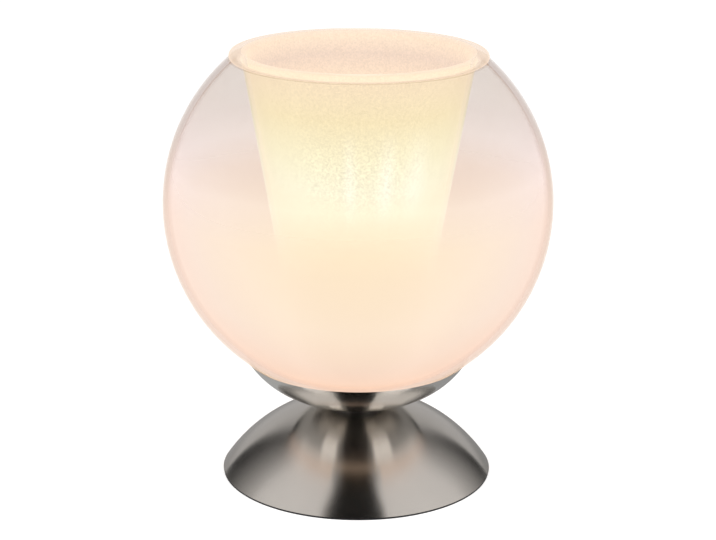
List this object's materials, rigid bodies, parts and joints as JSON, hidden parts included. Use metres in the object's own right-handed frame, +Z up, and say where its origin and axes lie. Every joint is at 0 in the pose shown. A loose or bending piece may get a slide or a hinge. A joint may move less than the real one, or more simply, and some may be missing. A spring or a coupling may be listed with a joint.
{
  "type": "table lamp",
  "caption": "Table lamp: a round glass shade with a frosted inner glass hung in its mouth, on a spun metal cup and a domed metal foot, with a screw-in bulb.",
  "frame": {"origin": "middle of the underside of the foot, on the table", "axes": "+Z up along the lamp's axis, +Y towards the cable inlet at the back, front faces -Y"},
  "size_m": [0.2, 0.2, 0.2243],
  "materials": {
    "satin_nickel": "spun satin nickel plate",
    "foot_pad": "matte black foam",
    "iron": "rough as cast",
    "zinc_steel": "bright zinc plate",
    "black_plastic": "moulded",
    "silicone": "translucent white",
    "globe_glass": "smoky clear at the mouth, white opal below",
    "frosted_glass": "frosted with a fine sugar grain",
    "white_plastic": "moulded, fine grain",
    "ceramic_insert": "unglazed steatite",
    "brass": "bright sheet",
    "solder": "dull solder",
    "black_glass": "glossy black glass",
    "bulb_metal": "nickel plated sheet",
    "clear_glass": "clear thin glass",
    "glowing_phosphor": "glowing phosphor coat",
    "bulb_wire": "fine drawn wire"
  },
  "bodies": {
    "root": {"base_pad": "foot_pad", "base_weight": "iron", "base_dome": "satin_nickel", "cable_inlet": "black_plastic", "threaded_tube": "zinc_steel", "tube_nut": "zinc_steel", "tube_bush_lower": "black_plastic", "tube_bush_upper": "black_plastic", "flat_washer": "zinc_steel", "lock_washer": "zinc_steel", "neck_spacer": "zinc_steel", "cup": "satin_nickel", "cup_gasket": "silicone", "globe_glass": "globe_glass", "holder_cap": "white_plastic", "holder_insert": "ceramic_insert", "terminal_screws": "zinc_steel", "centre_contact": "brass", "holder_shell": "brass", "holder_skirt": "white_plastic", "shade_ring": "white_plastic"},
    "inner_glass": {"inner_glass": "frosted_glass"},
    "bulb_tip": {"bulb_contact": "solder"},
    "bulb": {"bulb_cap": "bulb_metal", "bulb_insulator": "black_glass", "bulb_glass": "clear_glass", "bulb_stem": "clear_glass", "bulb_filaments": "glowing_phosphor", "bulb_wires": "bulb_wire"}
  },
  "joints": [
    {"name": "inner_glass_lift", "type": "slide", "parent": "root", "child": "inner_glass", "axis": [0, 0, 1], "range_m": [0, 0.16]},
    {"name": "bulb_rise", "type": "slide", "parent": "root", "child": "bulb_tip", "axis": [0, 0, 1], "range_m": [0, 0.0182]},
    {"name": "bulb_turn", "type": "hinge", "parent": "bulb_tip", "child": "bulb", "pos_m": [0, 0, 0.07], "axis": [0, 0, 1], "range_deg": [0, 1800]}
  ],
  "couplings": [
    {"joint": "bulb_rise", "follows": "bulb_turn", "m_per_rad": 0.00057757}
  ]
}
